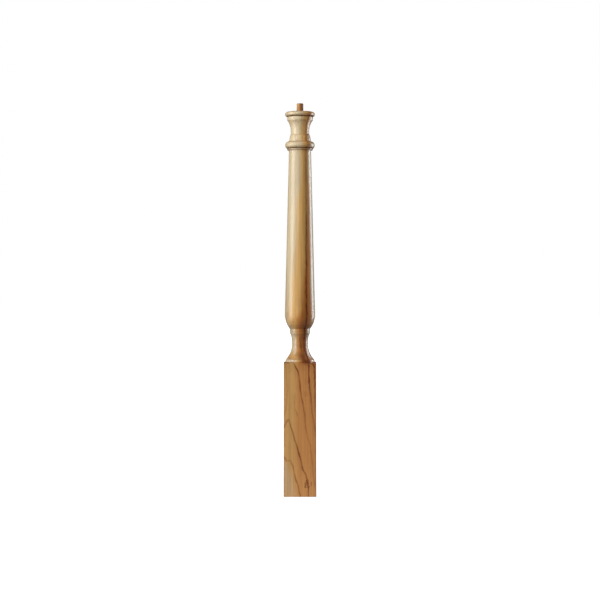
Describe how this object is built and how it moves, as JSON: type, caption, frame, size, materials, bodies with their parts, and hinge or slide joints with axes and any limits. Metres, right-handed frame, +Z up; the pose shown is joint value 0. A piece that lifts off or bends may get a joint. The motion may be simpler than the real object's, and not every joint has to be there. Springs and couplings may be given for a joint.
{
  "type": "newel post",
  "caption": "Turned wooden newel post with a square block at its foot and a pin on its flat cap, made to carry the handrail of a stair.",
  "frame": {"origin": "centre of the square underside of the block, where the post stands on the floor or step", "axes": "+Z up along the turning axis, X and Y square to the faces of the block, with -Y towards the picture's viewer"},
  "size_m": [0.0888, 0.0888, 1.0797],
  "materials": {
    "post_wood": "satin clear coat over fine straight grain with darker mineral streaks",
    "pin_wood": "bare and unpolished"
  },
  "bodies": {
    "root": {"turned_post": "post_wood", "top_pin": "pin_wood"}
  },
  "joints": []
}
